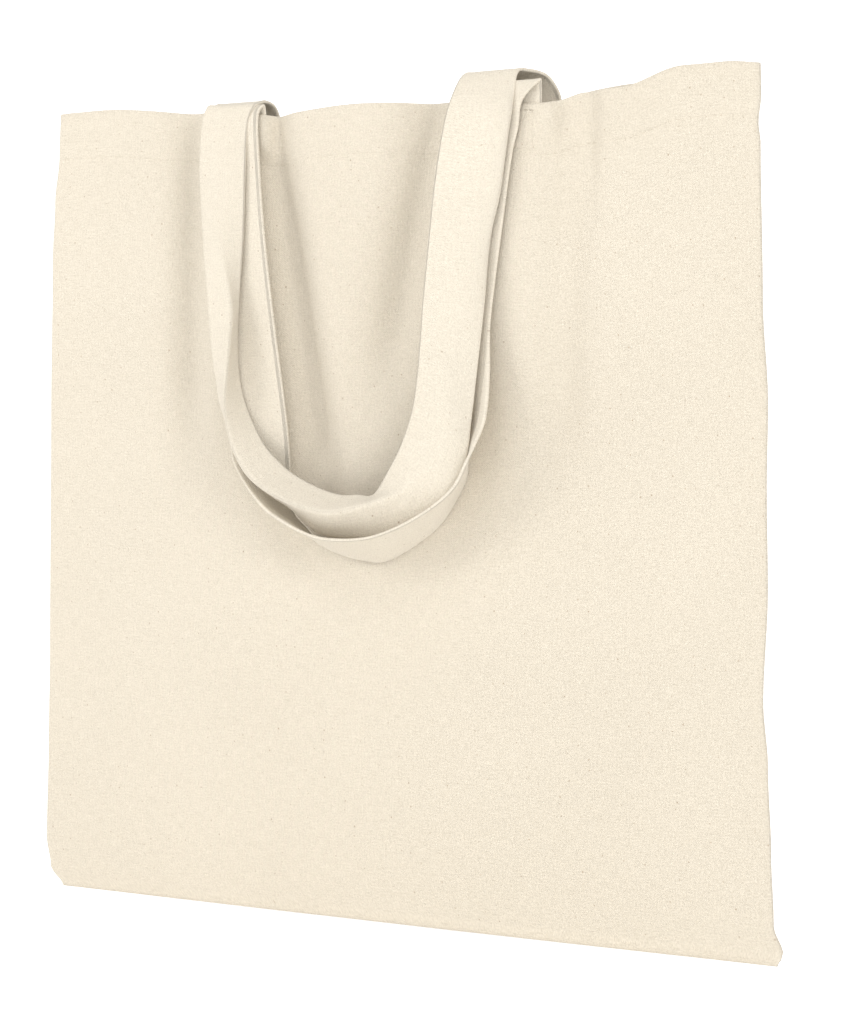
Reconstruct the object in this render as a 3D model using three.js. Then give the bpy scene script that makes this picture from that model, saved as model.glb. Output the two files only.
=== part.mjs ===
// Flat cotton canvas tote bag with two carrying handles, both hanging down over its front.
// Millimetres, +Z up, -Y is the front. The origin is the centre of the flat underside of the bottom fold.
import * as THREE from "three";

// ---------------------------------------------------------------- driving dimensions
const bagWidth = 381;
const bagHeight = 406;
const halfDepth = 10; // at the mouth, from the middle of the bag to the outside of a panel
const lowerHalfDepth = 10.8; // the same below lowerTop, where each panel hangs straight
const lowerTop = 160;
const seamHalfDepth = 1.5; // the same at a side seam, where the two panels meet
const flatHalfWidth = 120; // a panel is flat this far each side of the middle
const cloth = 0.7; // thickness of one layer of canvas
const gap = 0.3; // left between pieces that touch

const hemHeight = 25.4;
const hemSideInset = 14; // nearer a side seam the panels leave no room for the hem layers
const foldHeight = 12; // how far the bottom fold rises up each panel
const foldRadius = 3;
const seamAllowance = 10;
const threadThickness = 0.4;
const threadWidth = 0.8;

const strapWidth = 28;
const strapThickness = 1.4;
const handleSpacing = 150; // between the middles of a handle's two sewn ends
const frontHingeRise = 4; // height of a handle's fold above the hem
const backHingeRise = 5;
const tackSize = 20; // side of the square stitched through each handle end

// ---------------------------------------------------------------- derived positions
const strapEndFace = halfDepth - cloth - gap; // outer face of a sewn handle end
const hemFace = strapEndFace - strapThickness - gap; // outer face of a folded hem layer
const hingeDepth = strapEndFace - strapThickness / 2;
const panelBottom = foldHeight + gap;
const hemBottom = bagHeight - hemHeight;

const canvas = { color: 0xf0e6d0, roughness: 0.95, metalness: 0 };
const thread = { color: 0xf7f0e0, roughness: 0.7, metalness: 0 };

const bag = new THREE.Group();
bag.name = "tote_bag";

// ---------------------------------------------------------------- shape helpers

// Half of the bag's depth at a place across its width and up it: flat in the middle, easing in to the
// side seams, and a little fuller in the lower part.
function depthAt(x, z) {
  const past = Math.abs(x) - flatHalfWidth;
  const run = bagWidth / 2 - flatHalfWidth;
  const ease = past <= 0 ? 1 : (1 + Math.cos((Math.PI * past) / run)) / 2;
  const rise = Math.max(0, (z - lowerTop) / (bagHeight - lowerTop));
  const middleDepth = lowerHalfDepth + (halfDepth - lowerHalfDepth) * rise;
  return seamHalfDepth + (middleDepth - seamHalfDepth) * ease;
}

// Places across the width from -half to half, closer together where the panels ease in.
function placesAcross(half) {
  const stepsPerSide = 7;
  const places = [];
  for (let i = 0; i <= stepsPerSide; i++) {
    places.push(flatHalfWidth + ((half - flatHalfWidth) * i) / stepsPerSide);
  }
  return [...places.map((x) => -x).reverse(), ...places];
}

// A closed solid through a list of rings. Every ring is a closed polygon with the same number of points.
function loft(rings) {
  const count = rings[0].length;
  const positions = rings.flat().flatMap((p) => [p.x, p.y, p.z]);
  const triangles = [];
  for (let i = 0; i + 1 < rings.length; i++) {
    for (let j = 0; j < count; j++) {
      const a = i * count + j;
      const b = i * count + ((j + 1) % count);
      triangles.push(a, b, b + count, a, b + count, a + count);
    }
  }
  const [first, last] = [rings[0], rings[rings.length - 1]];
  const start = (rings.length - 1) * count;
  for (const [a, b, c] of capTriangles(first)) triangles.push(c, b, a);
  for (const [a, b, c] of capTriangles(last)) triangles.push(a + start, b + start, c + start);
  return orientedGeometry(positions, triangles);
}

// Triangles that fill one ring, worked out in the ring's own plane.
function capTriangles(ring) {
  const normal = ringNormal(ring);
  const across = ring[1].clone().sub(ring[0]).normalize();
  const up = normal.clone().cross(across);
  const flat = ring.map((p) => new THREE.Vector2(p.dot(across), p.dot(up)));
  return THREE.ShapeUtils.triangulateShape(flat, []);
}

// Newell's normal of a closed polygon.
function ringNormal(ring) {
  const normal = new THREE.Vector3();
  ring.forEach((p, i) => {
    const q = ring[(i + 1) % ring.length];
    normal.x += (p.y - q.y) * (p.z + q.z);
    normal.y += (p.z - q.z) * (p.x + q.x);
    normal.z += (p.x - q.x) * (p.y + q.y);
  });
  return normal.normalize();
}

// An indexed geometry whose faces point out, whichever way its rings ran.
function orientedGeometry(positions, triangles) {
  const corner = (i) => new THREE.Vector3().fromArray(positions, 3 * i);
  let volume = 0;
  for (let i = 0; i < triangles.length; i += 3) {
    const [a, b, c] = [0, 1, 2].map((k) => corner(triangles[i + k]));
    volume += a.dot(b.cross(c));
  }
  if (volume < 0) triangles.reverse();
  const geometry = new THREE.BufferGeometry();
  geometry.setAttribute("position", new THREE.Float32BufferAttribute(positions, 3));
  geometry.setIndex(triangles);
  return geometry;
}

function addPiece(name, geometry, look) {
  const mesh = new THREE.Mesh(geometry, new THREE.MeshStandardMaterial(look));
  mesh.name = name;
  bag.add(mesh);
}

// A strip that follows a panel across its width, through the given heights. side is -1 for the front and
// 1 for the back; inset is how far its outer face lies inside the outside of the panel, negative when it
// lies outside.
function stripAcross(side, half, inset, thickness, heights) {
  return loft(
    placesAcross(half).map((x) => {
      const outer = heights.map((z) => new THREE.Vector3(x, side * (depthAt(x, z) - inset), z));
      const inner = outer.map((p) => new THREE.Vector3(x, p.y - side * thickness, p.z));
      return [...outer, ...inner.reverse()];
    }),
  );
}

// ---------------------------------------------------------------- body of the bag

function makePanels() {
  for (const [name, side] of [["front_panel", -1], ["back_panel", 1]]) {
    const heights = [panelBottom, lowerTop, bagHeight];
    addPiece(name, stripAcross(side, bagWidth / 2, 0, cloth, heights), canvas);
  }
}

// One side of the channel that the cloth makes at the bottom, from its top down to the flat base.
function foldQuarter(side, depth, radius, inset) {
  const points = [new THREE.Vector2(side * (depth - inset), foldHeight)];
  const arcSteps = 4;
  for (let i = 0; i <= arcSteps; i++) {
    const angle = (Math.PI / 2) * (i / arcSteps);
    const reach = radius - inset;
    const y = depth - radius + reach * Math.cos(angle);
    points.push(new THREE.Vector2(side * y, radius - reach * Math.sin(angle)));
  }
  return points;
}

// The bottom fold: a channel, open upwards, that joins the two panels.
function makeBottomFold() {
  const rings = placesAcross(bagWidth / 2).map((x) => {
    const depth = depthAt(x, 0);
    const radius = Math.min(foldRadius, depth - 0.2);
    const outer = [
      ...foldQuarter(-1, depth, radius, 0),
      ...foldQuarter(1, depth, radius, 0).reverse(),
    ];
    const inner = [
      ...foldQuarter(1, depth, radius, cloth),
      ...foldQuarter(-1, depth, radius, cloth).reverse(),
    ];
    return [...outer, ...inner].map((p) => new THREE.Vector3(x, p.x, p.y));
  });
  addPiece("bottom_fold", loft(rings), canvas);
}

function makeHems() {
  const half = bagWidth / 2 - hemSideInset;
  for (const [name, side] of [["front", -1], ["back", 1]]) {
    addPiece(`${name}_hem`, hemLayer(side, half), canvas);
    const proud = gap + threadThickness;
    const heights = [hemBottom, hemBottom + threadWidth];
    const stitching = stripAcross(side, half, -proud, threadThickness, heights);
    addPiece(`${name}_hem_stitching`, stitching, thread);
  }
}

// The folded layer inside the mouth. It lies over the sewn handle ends and closes in on the panel
// towards the side seams.
function hemLayer(side, half) {
  return loft(
    placesAcross(half).map((x) => {
      const room = depthAt(x, bagHeight) - cloth - gap - cloth - gap;
      const outer = side * Math.min(hemFace, room + cloth);
      const inner = outer - side * cloth;
      return [
        new THREE.Vector3(x, outer, hemBottom),
        new THREE.Vector3(x, outer, bagHeight - gap),
        new THREE.Vector3(x, inner, bagHeight - gap),
        new THREE.Vector3(x, inner, hemBottom),
      ];
    }),
  );
}

// The turned-in edges of the two panels, and the thread that binds them, inside each side seam.
function makeSideSeams() {
  const seamTop = hemBottom - gap;
  const height = seamTop - panelBottom;
  for (const [name, side] of [["left", -1], ["right", 1]]) {
    const edge = side * (bagWidth / 2 - gap);
    const allowance = new THREE.BoxGeometry(seamAllowance, cloth, height);
    allowance.translate(edge - (side * seamAllowance) / 2, 0, panelBottom + height / 2);
    addPiece(`${name}_seam_allowance`, allowance, canvas);

    const binding = new THREE.BoxGeometry(threadWidth, cloth, height);
    const bindingAt = edge - side * (seamAllowance + gap + threadWidth / 2);
    binding.translate(bindingAt, 0, panelBottom + height / 2);
    addPiece(`${name}_seam_stitching`, binding, thread);
  }
}

// ---------------------------------------------------------------- handles

// Stations along a handle, from its left end to its right end. Each gives the strap's two edges as
// [x, distance in front of the front panel, z]; a negative distance is behind the panel's face.
// The front handle's first edge is its outer one, which stands out in front at the bottom of the loop.
const frontHandleEdges = [
  [[-89, 1.5, 409.5], [-61, 1.5, 409.5]],
  [[-89, 2, 405], [-61, 2, 405]],
  [[-88.5, 2.5, 372], [-61.5, 3, 371]],
  [[-84.5, 3.5, 338], [-57.5, 4.5, 337]],
  [[-80, 5, 300], [-53, 5.5, 299]],
  [[-75, 8.5, 268], [-49, 5, 267]],
  [[-71, 13, 243], [-46.5, 4, 241]],
  [[-67, 16.5, 224.5], [-45.5, 2.2, 219]],
  [[-54, 22, 207.5], [-41, 2.5, 198.5]],
  [[-35, 26, 196], [-31, 2.8, 187]],
  [[-12, 28, 189], [-16.5, 2.8, 180]],
  [[11, 28.5, 190], [5, 2.5, 178.5]],
  [[29, 28, 196.5], [24, 2.2, 187]],
  [[43, 27.5, 205], [36.5, 2, 197]],
  [[55.5, 26.5, 217.5], [46.5, 2, 209.5]],
  [[63, 23, 234.5], [47.5, 2.3, 231]],
  [[65, 16.5, 256], [42, 2.3, 254]],
  [[63, 8, 288], [36.5, 2.3, 287]],
  [[65, 4.5, 318], [38, 2.2, 317]],
  [[68.5, 3.2, 345], [41, 2.1, 344]],
  [[75, 2.8, 378], [48, 2, 377]],
  [[84, 2.5, 403], [56.5, 2, 403]],
  [[89, 1.5, 409.5], [61, 1.5, 409.5]],
];

// The back handle reaches over the mouth and lies in the front handle's loop. Its first edge is the inner one.
const backHandleEdges = [
  [[-62, -7, 416], [-90, -7, 416]],
  [[-66, 4.5, 410], [-94, 4.5, 409]],
  [[-68.5, 11, 379], [-96, 6, 379]],
  [[-69, 13.5, 345], [-95.5, 6, 345]],
  [[-67.5, 17.5, 311], [-92.5, 6.2, 311]],
  [[-67.5, 23, 283], [-89.5, 7, 281]],
  [[-67, 28, 256], [-84.5, 9, 252]],
  [[-60.5, 32, 233], [-75, 14.5, 228]],
  [[-45.5, 34.5, 226], [-61, 23, 215]],
  [[-28.5, 34, 213], [-42, 15, 207]],
  [[-11, 31.5, 205], [-21, 9.5, 192]],
  [[5, 28, 204.5], [2, 8, 189]],
  [[17, 25, 212.5], [25, 7.5, 195]],
  [[25, 22.5, 228], [40, 10, 208]],
  [[30, 21, 244], [51.5, 14.5, 228]],
  [[32, 20.5, 262], [57, 16, 251]],
  [[32.5, 18, 286], [58.5, 10.5, 281]],
  [[34, 16.5, 312], [61, 7.5, 309]],
  [[38, 13, 347], [65.5, 6.5, 345]],
  [[44, 9, 381], [71.5, 6, 379]],
  [[50, 5.5, 409], [77, 5.5, 408]],
  [[56, -6.5, 416], [84, -6.5, 416]],
];

// A smooth curve along one edge of a strap, from one hinge line to the other.
function edgeCurve(stations, whichEdge, hinge) {
  const across = (x) => new THREE.Vector3(x, hinge.y, hinge.z);
  const [first, last] = [stations[0][whichEdge][0], stations[stations.length - 1][whichEdge][0]];
  const points = stations.map((edges) => {
    const [x, out, z] = edges[whichEdge];
    return new THREE.Vector3(x, -halfDepth - out, z);
  });
  return new THREE.CatmullRomCurve3([across(first), ...points, across(last)], false, "centripetal");
}

// A flat strap swept between its two edge curves.
function strapSolid(stations, hinge) {
  const stepsPerStation = 4;
  const steps = (stations.length + 1) * stepsPerStation;
  const edges = [0, 1].map((whichEdge) => edgeCurve(stations, whichEdge, hinge));
  const middle = (t) => edges[0].getPoint(t).add(edges[1].getPoint(t)).multiplyScalar(0.5);
  const rings = [];
  for (let i = 0; i <= steps; i++) {
    const t = i / steps;
    const [a, b] = edges.map((edge) => edge.getPoint(t));
    const along = middle(Math.min(1, t + 1e-3)).sub(middle(Math.max(0, t - 1e-3)));
    const half = b.clone().sub(a).cross(along).setLength(strapThickness / 2);
    rings.push([a.clone().add(half), b.clone().add(half), b.clone().sub(half), a.clone().sub(half)]);
  }
  return loft(rings);
}

// The handle ends, sewn between a panel and its hem layer, and the crossed square of thread on each.
function makeHandleEnds(name, side, hingeRise) {
  const high = bagHeight + hingeRise - 2;
  const low = hemBottom + gap + threadWidth;
  for (const [end, x] of [["left", -handleSpacing / 2], ["right", handleSpacing / 2]]) {
    const tab = new THREE.BoxGeometry(strapWidth, strapThickness, high - low);
    tab.translate(x, side * hingeDepth, (high + low) / 2);
    addPiece(`${name}_handle_${end}_end`, tab, canvas);

    const tack = crossedSquare();
    tack.rotateX(Math.PI / 2);
    const tackDepth = side * (halfDepth + gap + threadThickness / 2);
    tack.translate(x, tackDepth, bagHeight - hemHeight / 2);
    addPiece(`${name}_handle_${end}_tack`, tack, thread);
  }
}

// A square outline with both diagonals, one thread wide, lying in XY and centred on the origin.
function crossedSquare() {
  const half = tackSize / 2;
  const outline = new THREE.Shape([
    new THREE.Vector2(-half, -half),
    new THREE.Vector2(half, -half),
    new THREE.Vector2(half, half),
    new THREE.Vector2(-half, half),
  ]);
  const side = half - threadWidth;
  const tip = threadWidth / Math.SQRT2;
  for (let quarter = 0; quarter < 4; quarter++) {
    const angle = (quarter * Math.PI) / 2;
    const turn = (x, y) => new THREE.Vector2(x, y).rotateAround(new THREE.Vector2(), angle);
    outline.holes.push(new THREE.Path([turn(0, -tip), turn(-side + tip, -side), turn(side - tip, -side)]));
  }
  const geometry = new THREE.ExtrudeGeometry(outline, { depth: threadThickness, bevelEnabled: false });
  return geometry.translate(0, 0, -threadThickness / 2);
}

function makeHandles() {
  const frontHinge = { y: -hingeDepth, z: bagHeight + frontHingeRise };
  const backHinge = { y: hingeDepth, z: bagHeight + backHingeRise };
  addPiece("front_handle", strapSolid(frontHandleEdges, frontHinge), canvas);
  addPiece("back_handle", strapSolid(backHandleEdges, backHinge), canvas);
  makeHandleEnds("front", -1, frontHingeRise);
  makeHandleEnds("back", 1, backHingeRise);
}

makePanels();
makeBottomFold();
makeHems();
makeSideSeams();
makeHandles();

export default bag;
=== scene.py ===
"""The looks of a cotton canvas tote bag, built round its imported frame.

Lengths in the shape functions are millimetres; objects are made in metres. The bag's body is one sheet of
cloth (hem, front, bottom fold, back, hem), and each handle is one folded strap sewn in at both ends.
"""

import math

import bpy
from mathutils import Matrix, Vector, noise


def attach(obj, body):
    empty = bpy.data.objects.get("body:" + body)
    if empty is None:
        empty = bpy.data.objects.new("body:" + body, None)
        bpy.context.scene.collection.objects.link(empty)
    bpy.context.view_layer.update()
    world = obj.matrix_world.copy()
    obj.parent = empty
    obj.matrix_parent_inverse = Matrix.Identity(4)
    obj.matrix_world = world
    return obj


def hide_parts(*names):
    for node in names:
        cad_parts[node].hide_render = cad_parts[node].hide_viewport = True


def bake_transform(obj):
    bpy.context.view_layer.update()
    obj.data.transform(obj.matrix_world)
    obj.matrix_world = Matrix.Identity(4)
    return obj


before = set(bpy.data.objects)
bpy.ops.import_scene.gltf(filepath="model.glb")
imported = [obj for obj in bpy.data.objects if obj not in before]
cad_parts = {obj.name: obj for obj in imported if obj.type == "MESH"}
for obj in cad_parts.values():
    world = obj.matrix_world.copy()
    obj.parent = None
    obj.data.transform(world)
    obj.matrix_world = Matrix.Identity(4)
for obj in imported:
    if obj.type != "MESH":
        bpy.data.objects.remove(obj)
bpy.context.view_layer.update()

MM = 0.001

# ------------------------------------------------------------------ sizes, in mm
BAG_WIDTH = 381.0
PANEL_HEIGHT = 400.0
HEM = 25.4
CLOTH = 0.7  # thickness of the canvas
LEAST_HALF = CLOTH / 2 + 0.1  # half of the bag's depth where its two layers lie together
SEAM_ALLOWANCE = 10.0
HANDLE_X = 75.0  # middle of each sewn handle end, from the middle of the bag
STRAP_WIDTH = 28.0
STRAP_HALF = 0.62  # half of the folded strap's thickness
STRAP_ROLL = 0.22  # how much thicker each half is at the folded edges
STRAP_CLEARANCE = 0.95  # least distance from the panel's face to the middle of a hanging strap
SEWN_END_FOOT = 383  # height at which each strap starts and ends, inside the hem
STITCH_DROP = 24.0  # hem stitching below the mouth edge
LIP_DROP = 0.9  # the cloth starts to turn over this far below the mouth edge
THREAD = 0.42  # thickness of the hem and tack stitches
FOLD_RADIUS = 4.0
WEAVE_PITCH = 1.05

# ------------------------------------------------------------------ camera, lights and colours
CAMERA_PLACE = (0.398, -0.8512, 0.2412)
CAMERA_AZIMUTH = 23.76
LENS = 67
SENSOR_WIDTH = 36
SHIFT_UP = -0.0848
WORLD_COLOUR = (1.0, 0.99, 0.975, 1)
WORLD_STRENGTH = 0.73
# Each softbox: name, place, target, size in metres and power in watts.
SOFTBOXES = [
    ("left_softbox", (-1.2, -1.3, 0.9), (0, 0, 0.2), 0.6, 10.5),
    ("right_softbox", (1.5, -1.1, 0.8), (0, 0, 0.2), 0.6, 10),
    ("top_softbox", (0.1, -1.3, 1.7), (0, 0, 0.25), 0.7, 6),
]
BODY_LIGHT = (0.725, 0.661, 0.555, 1)
BODY_DARK = (0.56, 0.504, 0.41, 1)
# The strap canvas is the body's canvas painted a few percent lighter, in its light and dark tones alike:
# painted light, for the straps standing out and catching more light than the panels.
STRAP_LIT_LIGHT = (0.75, 0.69, 0.582, 1)
STRAP_LIT_DARK = (0.6, 0.543, 0.45, 1)
THREAD_LIGHT = (0.7, 0.64, 0.54, 1)
THREAD_DARK = (0.6, 0.54, 0.44, 1)
SEED_BROWN = (0.34, 0.25, 0.17, 1)
PAPER_WHITE = (0.93, 0.93, 0.93, 1)


# ------------------------------------------------------------------ small helpers
def smooth(low, high, value):
    """0 below low, 1 above high, easing between."""
    t = min(1.0, max(0.0, (value - low) / (high - low)))
    return t * t * (3 - 2 * t)


def bump(value, centre, width):
    """A round hill of height 1."""
    return math.exp(-(((value - centre) / width) ** 2))


def through(points, value):
    """The height at a place on a smooth curve through (place, height) points."""
    if value <= points[0][0]:
        return points[0][1]
    for (x0, y0), (x1, y1) in zip(points, points[1:]):
        if value <= x1:
            return y0 + (y1 - y0) * smooth(x0, x1, value)
    return points[-1][1]


def ripple(x, z, size, seed):
    """Gentle noise from -1 to 1 with hills about size mm apart."""
    return noise.noise(Vector((x / size, z / size, seed)))


def mesh_object(name, points, faces, uvs, material):
    """A smooth-shaded object from points in mm. uvs, each point's place on the flat cloth, is its UV map."""
    mesh = bpy.data.meshes.new(name)
    mesh.from_pydata([Vector(p) * MM for p in points], [], faces)
    layer = mesh.uv_layers.new(name="cloth")
    for loop in mesh.loops:
        u, v = uvs[loop.vertex_index]
        layer.data[loop.index].uv = (u * MM, v * MM)
    mesh.materials.append(material)
    mesh.shade_smooth()
    piece = bpy.data.objects.new(name, mesh)
    bpy.context.scene.collection.objects.link(piece)
    return piece


def apply_modifiers(piece):
    """Bakes the modifiers into the mesh, so the piece is left with none."""
    graph = bpy.context.evaluated_depsgraph_get()
    baked = bpy.data.meshes.new_from_object(piece.evaluated_get(graph), depsgraph=graph)
    piece.modifiers.clear()
    piece.data = baked


def grid_faces(rows, columns, closed=False):
    """Quads over a grid of points held row by row; closed joins each row's end to its start."""
    faces = []
    for r in range(rows - 1):
        for c in range(columns if closed else columns - 1):
            d = (c + 1) % columns
            here, above = r * columns, (r + 1) * columns
            faces.append((here + c, here + d, above + d, above + c))
    return faces


# ------------------------------------------------------------------ camera, lights, floor
def make_camera():
    data = bpy.data.cameras.new("camera")
    data.lens = LENS
    data.sensor_width = SENSOR_WIDTH
    data.shift_y = SHIFT_UP
    data.clip_start = 0.05
    camera = bpy.data.objects.new("camera", data)
    camera.location = CAMERA_PLACE
    camera.rotation_euler = (math.radians(90), 0, math.radians(CAMERA_AZIMUTH))
    bpy.context.scene.collection.objects.link(camera)
    bpy.context.scene.camera = camera


def area_light(name, place, target, size, power):
    data = bpy.data.lights.new(name, "AREA")
    data.size = size
    data.energy = power
    light = bpy.data.objects.new(name, data)
    light.location = place
    light.rotation_euler = (Vector(target) - Vector(place)).to_track_quat("-Z", "Y").to_euler()
    bpy.context.scene.collection.objects.link(light)


def make_light():
    scene = bpy.context.scene
    scene.view_settings.view_transform = "Standard"
    world = bpy.data.worlds.new("studio")
    world.use_nodes = True
    world.node_tree.nodes["Background"].inputs["Color"].default_value = WORLD_COLOUR
    world.node_tree.nodes["Background"].inputs["Strength"].default_value = WORLD_STRENGTH
    scene.world = world
    for name, place, target, size, power in SOFTBOXES:
        area_light(name, place, target, size, power)


def make_floor():
    """A pale floor that curves up into a backdrop well behind the bag."""
    reach = 2600.0
    bend_start, bend_radius = 1400.0, 700.0
    wall_height = 3200.0
    profile = [(-reach, 0.0), (bend_start, 0.0)]
    for k in range(1, 11):
        turn = math.radians(9 * k)
        profile.append((bend_start + bend_radius * math.sin(turn),
                        bend_radius - bend_radius * math.cos(turn)))
    profile.append((bend_start + bend_radius, wall_height))
    points = [(x, y, z) for y, z in profile for x in (-reach, reach)]
    uvs = [(x, y) for y, z in profile for x in (-reach, reach)]
    floor = mesh_object("floor", points, grid_faces(len(profile), 2), uvs, backdrop_material())


# ------------------------------------------------------------------ materials
class Nodes:
    """Short ways to add shader nodes to one material."""

    def __init__(self, name):
        self.material = bpy.data.materials.new(name)
        self.material.use_nodes = True
        self.tree = self.material.node_tree
        self.shader = self.tree.nodes["Principled BSDF"]

    def link(self, value, socket):
        if isinstance(value, bpy.types.NodeSocket):
            self.tree.links.new(value, socket)
        else:
            socket.default_value = value

    def math(self, operation, a, b=0.0):
        node = self.tree.nodes.new("ShaderNodeMath")
        node.operation = operation
        self.link(a, node.inputs[0])
        self.link(b, node.inputs[1])
        return node.outputs[0]

    def vector(self, x, y, z=0.0):
        node = self.tree.nodes.new("ShaderNodeCombineXYZ")
        for value, socket in zip((x, y, z), node.inputs):
            self.link(value, socket)
        return node.outputs[0]

    def stretched(self, u, v, per_u, per_v, seed):
        """The place (u, v), in metres, counted in cells of which there are per_u and per_v in a metre."""
        return self.vector(self.math("MULTIPLY", u, per_u), self.math("MULTIPLY", v, per_v), seed)

    def noise(self, vector, detail):
        node = self.tree.nodes.new("ShaderNodeTexNoise")
        node.inputs["Scale"].default_value = 1.0
        node.inputs["Detail"].default_value = detail
        self.link(vector, node.inputs["Vector"])
        return node.outputs["Fac"]

    def ramp(self, value, low, high):
        """value stretched so that low gives 0 and high gives 1."""
        node = self.tree.nodes.new("ShaderNodeMapRange")
        self.link(value, node.inputs["Value"])
        node.inputs["From Min"].default_value = low
        node.inputs["From Max"].default_value = high
        return node.outputs["Result"]

    def mix(self, factor, a, b):
        node = self.tree.nodes.new("ShaderNodeMix")
        node.data_type = "RGBA"
        self.link(factor, node.inputs["Factor"])
        self.link(a, node.inputs["A"])
        self.link(b, node.inputs["B"])
        return node.outputs["Result"]


def canvas_material(name, light, dark, seed):
    """Unbleached plain-weave cotton: fine threads, uneven yarn, seed flecks and a soft surface."""
    n = Nodes(name)
    uv = n.tree.nodes.new("ShaderNodeUVMap")
    uv.uv_map = "cloth"
    split = n.tree.nodes.new("ShaderNodeSeparateXYZ")
    n.link(uv.outputs[0], split.inputs[0])
    u, v = split.outputs[0], split.outputs[1]

    turn = 2 * math.pi / (WEAVE_PITCH * MM)
    over_under = n.math("MULTIPLY", n.math("SINE", n.math("MULTIPLY", u, turn)),
                        n.math("SINE", n.math("MULTIPLY", v, turn)))
    # Noise cells in a metre: across and along a yarn, in the fine grain, and in the broad uneven patches.
    across_yarn, along_yarn, grain_cells, patch_cells = 1400, 170, 1250, 14
    warp = n.noise(n.stretched(u, v, across_yarn, along_yarn, seed), 1)
    weft = n.noise(n.stretched(u, v, along_yarn, across_yarn, seed + 7), 1)
    yarn = n.math("MULTIPLY", n.math("ADD", warp, weft), 0.5)
    grain = n.noise(n.stretched(u, v, grain_cells, grain_cells, seed + 2), 1)
    patches = n.noise(n.stretched(u, v, patch_cells, patch_cells, seed + 3), 3)

    yarn_share, patch_share, grain_share = 0.4, 0.12, 0.48
    shade = n.math("ADD", n.math("MULTIPLY", n.ramp(yarn, 0.32, 0.68), yarn_share),
                   n.math("MULTIPLY", n.ramp(patches, 0.25, 0.75), patch_share))
    shade = n.math("ADD", shade, n.math("MULTIPLY", n.ramp(grain, 0.34, 0.66), grain_share))
    cloth = n.mix(shade, dark, light)
    speckled = n.mix(seed_flecks(n, u, v, seed), cloth, SEED_BROWN)
    n.link(speckled, n.shader.inputs["Base Color"])

    weave_height, yarn_height, grain_height = 0.35, 1.3, 1.5
    height = n.math("ADD", n.math("MULTIPLY", over_under, weave_height),
                    n.math("MULTIPLY", yarn, yarn_height))
    height = n.math("ADD", height, n.math("MULTIPLY", grain, grain_height))
    relief = n.tree.nodes.new("ShaderNodeBump")
    relief.inputs["Strength"].default_value = 0.9
    relief.inputs["Distance"].default_value = 0.00022
    n.link(height, relief.inputs["Height"])
    n.link(relief.outputs[0], n.shader.inputs["Normal"])

    n.shader.inputs["Roughness"].default_value = 0.95
    n.shader.inputs["Specular IOR Level"].default_value = 0.15
    n.shader.inputs["Sheen Weight"].default_value = 0.18
    n.shader.inputs["Sheen Roughness"].default_value = 0.5
    return n.material


def seed_flecks(n, u, v, seed):
    """Where the small brown bits of cotton seed are, and how strong: in one cell of the pattern in five."""
    cells = n.tree.nodes.new("ShaderNodeTexVoronoi")
    cells.voronoi_dimensions = "2D"
    cells.inputs["Scale"].default_value = 1.0
    n.link(n.vector(n.math("ADD", n.math("MULTIPLY", u, 200), seed), n.math("MULTIPLY", v, 170)),
           cells.inputs["Vector"])
    pick = n.tree.nodes.new("ShaderNodeSeparateColor")
    n.link(cells.outputs["Color"], pick.inputs[0])
    chosen = n.math("GREATER_THAN", pick.outputs[0], 0.8)
    size = n.math("ADD", n.math("MULTIPLY", pick.outputs[1], 0.05), 0.03)
    inside = n.math("LESS_THAN", cells.outputs["Distance"], size)
    strength = n.math("ADD", n.math("MULTIPLY", pick.outputs[2], 0.5), 0.2)
    return n.math("MULTIPLY", n.math("MULTIPLY", chosen, inside), strength)


def thread_material():
    """Twisted cotton sewing thread."""
    n = Nodes("sewing_thread")
    uv = n.tree.nodes.new("ShaderNodeUVMap")
    uv.uv_map = "cloth"
    split = n.tree.nodes.new("ShaderNodeSeparateXYZ")
    n.link(uv.outputs[0], split.inputs[0])
    twist = n.math("SINE", n.math("ADD", n.math("MULTIPLY", split.outputs[0], 9000),
                                  n.math("MULTIPLY", split.outputs[1], 7000)))
    n.link(n.mix(n.ramp(twist, -1, 1), THREAD_DARK, THREAD_LIGHT), n.shader.inputs["Base Color"])
    n.shader.inputs["Roughness"].default_value = 0.7
    n.shader.inputs["Sheen Weight"].default_value = 0.2
    return n.material


def backdrop_material():
    n = Nodes("studio_paper")
    n.shader.inputs["Base Color"].default_value = PAPER_WHITE
    n.shader.inputs["Emission Color"].default_value = (1, 1, 1, 1)
    n.shader.inputs["Emission Strength"].default_value = 0.4
    n.shader.inputs["Roughness"].default_value = 1.0
    n.shader.inputs["Specular IOR Level"].default_value = 0.0
    return n.material


# ------------------------------------------------------------------ body of the bag
# Each fold: place across at FOLD_TOP, slant, width, depth near the mouth, depth below it, lowest height.
# A fold with a depth below 0 is a low swelling.
FOLD_TOP = 390
FRONT_FOLDS = [
    (-104, 0.0, 12, 6.5, 6.5, 205),
    (-58, 0.165, 11, 9.0, 11.0, 180),
    (29, -0.2, 14, 9.5, 9.5, 230),
    (100, -0.05, 12, 6.0, 6.5, 190),
    (109, 0.0, 4, 3.0, 0.0, 250),
    (-12, 0.0, 26, -1.5, -1.5, 260),
    (148, 0.0, 18, -2.0, -1.0, 280),
]
BACK_FOLDS = [
    (-103, 0.0, 14, 3.5, 2.0, 240),
    (-47, 0.1, 14, 3.5, 2.0, 240),
    (47, -0.1, 14, 3.5, 2.0, 240),
    (103, 0.0, 14, 3.5, 2.0, 240),
    (0, 0.0, 26, -1.5, -1.0, 260),
]
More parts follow.
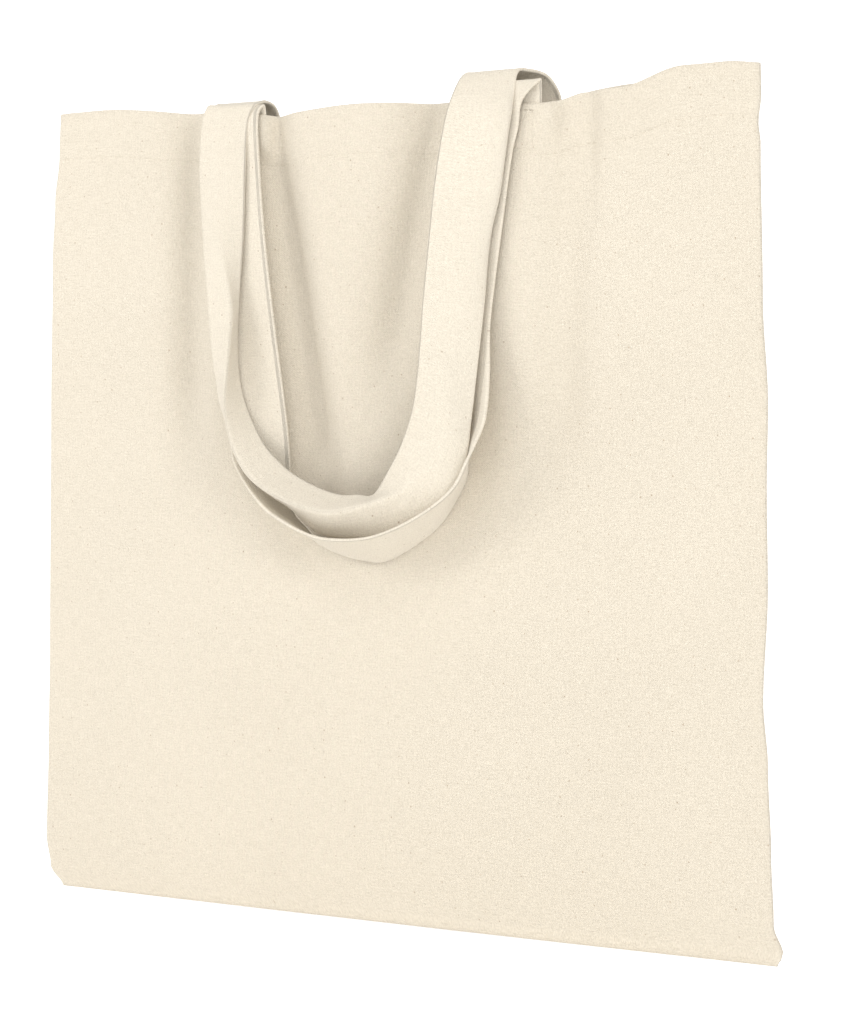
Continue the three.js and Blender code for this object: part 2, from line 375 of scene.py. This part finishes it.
# The mouth edges as (place across, height) and the side edges as (height, place across).
FRONT_EDGE = [(-190, 407), (-165, 407), (-100, 401.5), (-55, 397), (-12, 399), (30, 398), (88, 393.5),
              (106, 398), (124, 398.4), (156, 406.5), (175, 407.2), (190, 405.8)]
BACK_EDGE = [(-190, 405.5), (-130, 403), (-78, 397), (-30, 400), (30, 400), (76, 396), (130, 402),
             (190, 406)]
LEFT_SIDE = [(0, -186), (10, -193.5), (25, -196), (75, -194.7), (120, -193.8), (250, -193), (330, -192),
             (360, -190.5), (385, -187.8), (407, -187)]
RIGHT_SIDE = [(0, 195), (5, 197.5), (18, 193), (50, 191.8), (88, 190.4), (118, 188.2), (168, 190.3),
              (215, 189.8), (252, 190.4), (300, 188), (370, 187), (379, 186), (392, 187.3), (407, 187)]


def mouth(side, x):
    """Height of the mouth edge; side is -1 for the front panel and 1 for the back one, here and below."""
    return through(FRONT_EDGE if side < 0 else BACK_EDGE, x)


def across(u, z):
    """Place across the bag of a point u mm from the cloth's middle line."""
    left, right = through(LEFT_SIDE, z), through(RIGHT_SIDE, z)
    half = BAG_WIDTH / 2
    if u < -half:
        return left - (u + half)
    if u > half:
        return right - (u - half)
    return left + (right - left) * (u + half) / BAG_WIDTH


def fullness(u, z):
    """Half of the bag's depth: slim at the seams and the bottom fold, fuller in the middle and the mouth.

    Past the side edges, where the seam allowances are turned in, the two layers lie against each other.
    """
    edge = BAG_WIDTH / 2 - abs(u)
    if edge < 0:
        return LEAST_HALF
    lip = LEAST_HALF + 1.1 * (1 - math.exp(-edge / 1.3))
    middle = 3.0 + 5.6 * smooth(10, 130, z) + 0.3 * smooth(260, 400, z)
    return lip + middle * (1 - (1 - smooth(-20, 150, edge)) ** 1.3)


def valleys(folds, x, z):
    """Soft upright folds in the upper part of a panel, but not over the sewn handle ends."""
    depth = 0.0
    for place, slant, width, near_mouth, below, lowest in folds:
        centre = place + slant * (FOLD_TOP - z)
        strength = below * smooth(lowest, lowest + 70, z) + (near_mouth - below) * smooth(325, 385, z)
        depth += strength * bump(x, centre, width)
    clear_of_ends = smooth(14, 20, abs(abs(x) - HANDLE_X))
    return -depth * (1 - smooth(372, 384, z) * (1 - clear_of_ends))


def surface_relief(side, u, x, z, drop):
    """What stands in or out from the panel's broad shape: folds, waves, the double hem and seam puckers.

    drop is the distance below the mouth edge.
    """
    out = valleys(FRONT_FOLDS if side < 0 else BACK_FOLDS, x, z)
    seed = 3.0 if side < 0 else 11.0
    out += 0.75 * ripple(x, z * 0.6, 70, seed) + 0.22 * ripple(x, z, 22, seed + 1)
    out += 0.06 * ripple(x, z, 7, seed + 2)
    hem_ridge, stitch_groove = 0.3, 0.35
    out += hem_ridge * (1 - smooth(STITCH_DROP, STITCH_DROP + 1.5, drop))
    out -= stitch_groove * bump(drop, STITCH_DROP, 1.0)
    edge = BAG_WIDTH / 2 - abs(u)
    pucker = math.sin(z / 3.1 + 2 * ripple(0, z, 30, seed)) * 0.16
    out += pucker * math.exp(-max(0.0, edge) / 6)
    return out * (1 - math.exp(-max(0.0, edge) / 5))


def panel_point(side, u, z, drop):
    """A point of a panel, in the middle of the cloth's thickness."""
    x = across(u, z)
    depth = fullness(u, z) + surface_relief(side, u, x, z, drop)
    return (x, side * max(depth, CLOTH / 2 + 0.08), z)


def hem_point(side, u, drop):
    """The folded layer inside the mouth, over the sewn handle ends."""
    x = across(u, mouth(side, u) - drop)
    z = mouth(side, x) - drop
    room = fullness(u, z) + surface_relief(side, u, x, z, drop)
    hem_gap, strap_room, margin = 0.35, 2.3, 6
    over_end = smooth(STRAP_WIDTH / 2 + margin, STRAP_WIDTH / 2, abs(abs(x) - HANDLE_X))
    tucked = strap_room * over_end
    depth = max(LEAST_HALF, room - CLOTH - hem_gap - tucked)
    return (x, side * depth, z)


def body_rows():
    """The cloth's rows on one side, from the bottom fold to the inside of the hem: (kind, value) for each.

    value is a panel row's share of the height, a lip row's angle over the mouth edge in degrees, and a hem
    row's distance below the lip.
    """
    panel_rows = 150
    rows = [("panel", k / panel_rows) for k in range(1, panel_rows + 1)]
    rows += [("lip", 45.0), ("lip", 90.0), ("lip", 135.0)]
    rows += [("hem", HEM * k / 9) for k in range(0, 10)]
    return rows


def body_point(side, kind, value, u):
    """A point of the cloth and its distance from the middle of the bottom fold."""
    if kind == "panel":
        x = across(u, PANEL_HEIGHT / 2)
        top = mouth(side, x)
        z = FOLD_RADIUS + (top - LIP_DROP - FOLD_RADIUS) * value
        return panel_point(side, u, z, top - z), FOLD_RADIUS + PANEL_HEIGHT * value
    if kind == "lip":
        outer = body_point(side, "panel", 1.0, u)[0]
        inner = hem_point(side, u, LIP_DROP)
        turn = math.radians(value)
        middle = (Vector(outer) + Vector(inner)) / 2
        reach = (Vector(outer) - Vector(inner)) / 2
        point = middle + reach * math.cos(turn) + Vector((0, 0, 0.5)) * math.sin(turn)
        return tuple(point), FOLD_RADIUS + PANEL_HEIGHT + 1.2 * value / 180
    return hem_point(side, u, value + LIP_DROP), FOLD_RADIUS + PANEL_HEIGHT + 1.5 + value


def fold_point(turn, u):
    """A point of the bottom fold, turn going from -90 degrees at the front to 90 at the back."""
    side = -1 if turn < 0 else 1
    below_mouth = PANEL_HEIGHT - 10
    depth = abs(panel_point(side, u, FOLD_RADIUS, below_mouth)[1])
    lift = FOLD_RADIUS * (1 - math.cos(turn))
    return (across(u, lift), depth * math.sin(turn), lift + 0.35)


def cloth_places():
    """Places across the cloth, from one turned-in edge to the other, closest together at the side edges."""
    half = BAG_WIDTH / 2
    places = [-half - SEAM_ALLOWANCE, -half - 6, -half - 2, -half - 0.6]
    steps = 190
    places += [-half + BAG_WIDTH * k / steps for k in range(steps + 1)]
    places += [-p for p in reversed(places[:4])]
    near_edge = [-half + d for d in (0.5, 1.1)]
    return sorted(set(places + near_edge + [-p for p in near_edge]))


def side_row(side, kind, value, places):
    """One row of the cloth on one side: (point, place on the flat cloth) for each place across."""
    row = []
    for u in places:
        point, run = body_point(side, kind, value, u)
        row.append((point, (u, side * run)))
    return row


def fold_row(turn, places):
    """One row of the cloth along the bottom fold, in the same form."""
    return [(fold_point(turn, u), (u, FOLD_RADIUS * turn)) for u in places]


def make_body(material):
    """The whole body cloth: hem, front, bottom fold, back and hem, with the seam allowances turned in."""
    places = cloth_places()
    rows = [side_row(-1, kind, value, places) for kind, value in reversed(body_rows())]
    rows += [fold_row(math.radians(90) * k / 5, places) for k in range(-4, 5)]
    rows += [side_row(1, kind, value, places) for kind, value in body_rows()]
    points = [point for row in rows for point, _ in row]
    uvs = [flat for row in rows for _, flat in row]

    body = mesh_object("bag_body", points, grid_faces(len(rows), len(places)), uvs, material)
    shell = body.modifiers.new("cloth", "SOLIDIFY")
    shell.thickness = CLOTH * MM
    shell.offset = 0
    apply_modifiers(body)
    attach(body, "bag")
    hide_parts("front_panel", "back_panel", "bottom_fold", "front_hem", "back_hem",
                "left_seam_allowance", "right_seam_allowance")


# ------------------------------------------------------------------ handles
# Stations along each hanging strap, from its left end to its right end, in mm.
# The front handle's are its outer edge, which stands out in front at the bottom of the loop, and its inner
# edge. The back handle's are its inner edge, the middle line where it is creased, and its outer edge.
FRONT_HANG = [
    ((-90, -12.6, 396.5), (-63, -12.8, 395.5)),
    ((-88, -12.8, 373), (-61.5, -14, 372)),
    ((-84, -13.3, 338), (-57.5, -16.2, 337)),
    ((-79, -15, 299), (-52, -17.5, 298)),
    ((-74.5, -18.5, 268), (-47.5, -17.5, 267)),
    ((-70.5, -23, 243), (-44.5, -16.5, 241.5)),
    ((-68, -26.5, 225), (-44, -14.5, 221)),
    ((-51, -32.5, 205.5), (-44, -12.8, 201.5)),
    ((-35, -36.5, 196), (-35.5, -13, 191.5)),
    ((-19.5, -38, 190), (-28.5, -13, 185.5)),
    ((-5.5, -38.5, 188.5), (-18, -13, 181)),
    ((11, -38.5, 190), (-4, -13.5, 178)),
    ((27.5, -38.5, 196), (9.5, -12.5, 178.5)),
    ((43, -38, 205), (32, -12.2, 192.5)),
    ((53.5, -37, 214.5), (43, -12.2, 206.5)),
    ((59.5, -36, 226.5), (49.5, -12.2, 221.5)),
    ((62, -33, 234), (45, -12.3, 233.5)),
    ((65, -28.5, 246), (43.5, -12.3, 245.5)),
    ((64.5, -22.5, 265.5), (39.5, -12.3, 265)),
    ((62.5, -17, 288.5), (36, -12.3, 288)),
    ((64, -14.5, 310), (37, -12.3, 309.5)),
    ((66.5, -13.5, 330.5), (39.5, -12.3, 330)),
    ((70, -13, 356.5), (43, -12.3, 356)),
    ((72.5, -13, 372), (45.5, -12.3, 371.5)),
    ((75, -12.8, 382), (48, -12.3, 381.5)),
    ((77, -12.6, 394.5), (50, -12.4, 394)),
]
BACK_HANG = [
    ((-65.5, -12.6, 400.5), (-77.5, -13.4, 401), (-90.5, -13, 402)),
    ((-68.5, -13.5, 392), (-79.5, -15, 392.5), (-92.5, -14.5, 393.5)),
    ((-68.5, -16, 369.5), (-79.5, -18.5, 370), (-91.5, -18.5, 370.5)),
    ((-68.5, -18, 337), (-78.5, -23, 337), (-88, -21.5, 337.5)),
    ((-70, -20, 302.5), (-70, -26.5, 302), (-83, -25, 302.5)),
    ((-70.5, -20.5, 285), (-68.5, -31, 283.5), (-80.5, -26.5, 284)),
    ((-69, -21.5, 268), (-68.5, -34, 266.5), (-77.5, -27, 266)),
    ((-64.5, -22.5, 252.5), (-69, -35, 251), (-74, -27.5, 250.5)),
    ((-53.5, -25, 234), (-64.5, -35.5, 232.5), (-64, -28.5, 230.5)),
    ((-40, -26.5, 221.5), (-52.5, -37, 216.5), (-55.5, -30, 216)),
    ((-25, -27.5, 213.5), (-31, -38.5, 205.5), (-36, -27, 202.5)),
    ((-10.5, -28, 209), (-12, -39, 201.5), (-21.5, -26, 191.5)),
    ((0.5, -29, 209), (0.5, -38, 203.5), (-2.5, -26, 189.5)),
    ((10, -31, 209.5), (14.5, -36, 207.5), (13, -27, 191)),
    ((17, -30.5, 220), (28, -34, 213.5), (32, -29, 197)),
    ((24, -30, 233), (40, -33.5, 225.5), (49, -32.5, 211.5)),
    ((29.5, -29.5, 249), (47.5, -32, 241.5), (56.5, -31, 226)),
    ((32, -29, 266.5), (48.5, -30, 261), (58, -28, 246)),
    ((33, -28, 282.5), (48, -27, 279), (59, -24, 268.5)),
    ((34, -27, 301.5), (52, -24, 300.5), (60.5, -19.5, 297.5)),
    ((36, -25, 330), (56.5, -19.5, 329.5), (62.5, -17, 328.5)),
    ((37.5, -22.5, 353.5), (61.5, -18, 353), (67.5, -16.3, 352)),
    ((40, -19, 378.5), (65, -17, 376), (70.5, -15.5, 375.5)),
    ((42.5, -15.5, 394.5), (65.5, -15.6, 392), (73, -14.5, 392)),
]


def front_root(left, right, top):
    """The end sewn inside the front of the mouth, then up and forward over the edge."""
    path = [(-8.3, SEWN_END_FOOT), (-8.3, top - 9), (-8.7, top - 2.3), (-10.5, top)]
    return [((left, y, z), (right, y, z)) for y, z in path]


def back_root(first, last, top):
    """The end sewn inside the back of the mouth, then up and forward across the mouth.

    first and last are the strap's two edges, each as its place across at the sewn end and at the front.
    """
    path = [(8.3, SEWN_END_FOOT, 0), (8.3, top - 14, 0), (7.3, top - 7, 0.12), (3.5, top - 1.5, 0.35),
            (-3, top, 0.7), (-9, top - 1.8, 0.95)]
    stations = []
    for y, z, t in path:
        start_edge = (first[0] + (first[1] - first[0]) * t, y, z)
        end_edge = (last[0] + (last[1] - last[0]) * t, y, z)
        stations.append((start_edge, end_edge))
    return stations


FRONT_STRAP = (front_root(-89, -61, 401.5) + FRONT_HANG
               + list(reversed(front_root(85, 57, 403.5))))
BACK_STRAP = (back_root((-61, -64.5), (-89, -89.5), 404.8) + BACK_HANG
              + list(reversed(back_root((61, 45.5), (89, 72.5), 410))))


def clear_of_panel(point):
    """Moves a point of a hanging strap out in front of the front panel, where it would sink into it."""
    drop = mouth(-1, point.x) - point.z
    over_mouth = drop < 2 or point.y > -10
    if over_mouth:
        return point
    left, right = through(LEFT_SIDE, point.z), through(RIGHT_SIDE, point.z)
    u = (point.x - left) / (right - left) * BAG_WIDTH - BAG_WIDTH / 2
    face = panel_point(-1, u, point.z, drop)[1] - CLOTH / 2
    return Vector((point.x, min(point.y, face - STRAP_CLEARANCE), point.z))


def catmull(p, q, r, s, t):
    """A point between q and r on the smooth curve through four points."""
    return 0.5 * ((2 * q) + (r - p) * t + (2 * p - 5 * q + 4 * r - s) * t ** 2
                  + (3 * q - p - 3 * r + s) * t ** 3)


def smooth_stations(stations, steps):
    """The stations with steps - 1 smooth ones added between each two."""
    made = []
    last = len(stations) - 1
    for k in range(last):
        around = [stations[max(0, k - 1)], stations[k], stations[k + 1], stations[min(last, k + 2)]]
        for step in range(steps):
            made.append([catmull(*corners, step / steps) for corners in zip(*around)])
    made.append(stations[-1])
    return made


def strap_section(edges, along, wave):
    """The closed outline of the strap at one station, as (point, share of the width).

    It is flat, with thicker rounded edges, and bows or creases at its middle line. wave lifts its middle.
    """
    first, middle, last = edges
    control = middle * 2 - (first + last) / 2
    across_steps, edge_steps = 16, 4
    crease = smooth(0.35, 1.1, (middle - first).angle(last - middle))

    def on_strap(q):
        bow = first * (1 - q) ** 2 + control * 2 * q * (1 - q) + last * q ** 2
        creased = first.lerp(middle, q * 2) if q < 0.5 else middle.lerp(last, q * 2 - 1)
        return bow.lerp(creased, crease)

    def facing(q):
        tangent = on_strap(min(1, q + 0.03)) - on_strap(max(0, q - 0.03))
        return tangent.cross(along).normalized(), tangent.normalized()

    outline = []
    for sign in (1, -1):
        for k in range(across_steps + 1):
            q = k / across_steps if sign > 0 else 1 - k / across_steps
            face, _ = facing(q)
            ease = min(q, 1 - q)
            roll = STRAP_ROLL * math.exp(-((ease / 0.05) ** 2))
            stitch_line = 0.1 * bump(ease, 0.11, 0.02)
            thick = STRAP_HALF + roll - stitch_line
            outline.append((on_strap(q) + face * (sign * thick + wave * math.sin(math.pi * q)), q))
        q = 1.0 if sign > 0 else 0.0
        face, outward = facing(q)
        thick = STRAP_HALF + STRAP_ROLL
        for k in range(1, edge_steps):
            turn = math.pi * k / edge_steps
            reach = outward * sign * math.sin(turn) + face * sign * math.cos(turn)
            outline.append((on_strap(q) + reach * thick, q))
    return outline


def make_strap(name, stations, nodes, material, seed):
    """One folded strap with its two sewn ends."""
    stations = [[Vector(p) for p in edges] for edges in stations]
    for edges in stations:
        if len(edges) == 2:
            edges.insert(1, (edges[0] + edges[1]) / 2)
    lining = 40  # places the strap's other layer elsewhere on the flat cloth
    rings = [[clear_of_panel(p) for p in edges] for edges in smooth_stations(stations, 7)]
    points, uvs, run = [], [], 0.0
    for k, edges in enumerate(rings):
        before, after = rings[max(0, k - 1)], rings[min(len(rings) - 1, k + 1)]
        run += (edges[1] - before[1]).length
        hanging = smooth(12, 60, min(k, len(rings) - 1 - k))
        wave = hanging * (0.35 * ripple(run, 0, 34, seed) + 0.12 * ripple(run, 0, 9, seed + 5))
        outline = strap_section(edges, after[1] - before[1], wave)
        for j, (point, q) in enumerate(outline):
            points.append(point)
            uvs.append((q * STRAP_WIDTH + (lining if j > len(outline) / 2 else 0), run))
    count = len(points) // len(rings)
    faces = grid_faces(len(rings), count, closed=True)
    faces.append(tuple(reversed(range(count))))
    faces.append(tuple(range(len(points) - count, len(points))))
    strap = mesh_object(name, points, faces, uvs, material)
    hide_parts(*nodes)
    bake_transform(strap)


# ------------------------------------------------------------------ stitching
def stitches(name, places, normals, length, thickness, material, node):
    """A row of short raised stitches, one between each two places; a normal points away from the cloth."""
    points, faces, uvs = [], [], []
    rings, sides = 6, 6
    for k in range(len(places) - 1):
        start, end = Vector(places[k]), Vector(places[k + 1])
        along = (end - start).normalized()
        middle = (start + end) / 2
        up = Vector(normals[k]).normalized()
        aside = along.cross(up)
        base = len(points)
        for ring in range(rings + 1):
            t = ring / rings
            swell = math.sin(math.pi * min(0.97, max(0.03, t))) ** 0.5
            centre = middle + along * length * (t - 0.5) + up * thickness * 0.35 * swell
            for side in range(sides):
                turn = 2 * math.pi * side / sides
                offset = aside * math.cos(turn) + up * math.sin(turn)
                points.append(centre + offset * thickness / 2 * swell)
                uvs.append((length * t, thickness * side / sides))
        for face in grid_faces(rings + 1, sides, closed=True):
            faces.append(tuple(base + i for i in face))
        faces.append(tuple(base + i for i in reversed(range(sides))))
        faces.append(tuple(base + rings * sides + i for i in range(sides)))
    row = mesh_object(name, points, faces, uvs, material)
    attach(row, "bag")
    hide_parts(node)


def outer_face(side, u, drop):
    """A point on the outside of a panel, drop mm below the mouth."""
    hem_height = 380
    x = across(u, hem_height)
    z = mouth(side, x) - drop
    x, y, z = panel_point(side, u, z, drop)
    return (x, y + side * CLOTH / 2, z)


def make_hem_stitching(material):
    pitch = 3.2
    count = int((BAG_WIDTH - 2) / pitch)
    for name, side in (("front", -1), ("back", 1)):
        places = [outer_face(side, 1 - BAG_WIDTH / 2 + pitch * k, STITCH_DROP) for k in range(count + 1)]
        row = f"{name}_hem_stitching"
        stitches(row, places, [(0, side, 0)] * count, 2.4, THREAD, material, row)


def make_tacks(material):
    """The crossed square of stitches that holds each handle end."""
    half, pitch = 9.0, 2.6
    for name, side in (("front", -1), ("back", 1)):
        for end, centre in (("left", -HANDLE_X), ("right", HANDLE_X)):
            corners = [(-half, -half), (half, -half), (half, half), (-half, half), (-half, -half),
                       (half, half), (-half, half), (half, -half)]
            places = []
            for (x0, z0), (x1, z1) in zip(corners, corners[1:]):
                count = max(1, round(math.hypot(x1 - x0, z1 - z0) / pitch))
                for k in range(count):
                    t = k / count
                    places.append(outer_face(side, centre + x0 + (x1 - x0) * t,
                                             HEM / 2 - z0 - (z1 - z0) * t))
            tack = f"{name}_handle_{end}_tack"
            stitches(tack, places, [(0, side, 0)] * len(places), 2.1, THREAD, material, tack)


def make_seam_stitching(material):
    """Overlock loops along the turned-in edges inside each side seam."""
    for name, side in (("left", -1), ("right", 1)):
        places = []
        lowest, pitch, count = 14, 3.0, 120
        for k in range(count):
            z = lowest + pitch * k
            inset = SEAM_ALLOWANCE + (0.3 if k % 2 else -2.4)
            places.append((across(side * BAG_WIDTH / 2, z) - side * inset, 0, z))
        row = f"{name}_seam_stitching"
        stitches(row, places, [(side, 0, 0)] * len(places), 3.6, 0.5, material, row)


# ------------------------------------------------------------------ the whole object
make_camera()
make_light()
make_floor()

body_canvas = canvas_material("canvas_body", BODY_LIGHT, BODY_DARK, 1.0)
# The strap canvas takes the lighter strap tones, which are painted light on the same cloth as the body.
lit_strap_canvas = canvas_material("canvas_strap", STRAP_LIT_LIGHT, STRAP_LIT_DARK, 21.0)
thread = thread_material()

make_body(body_canvas)
make_strap("front_strap", FRONT_STRAP,
           ("front_handle", "front_handle_left_end", "front_handle_right_end"),
           lit_strap_canvas, 2.0)
make_strap("back_strap", BACK_STRAP,
           ("back_handle", "back_handle_left_end", "back_handle_right_end"),
           lit_strap_canvas, 4.0)
make_hem_stitching(thread)
make_tacks(thread)
make_seam_stitching(thread)
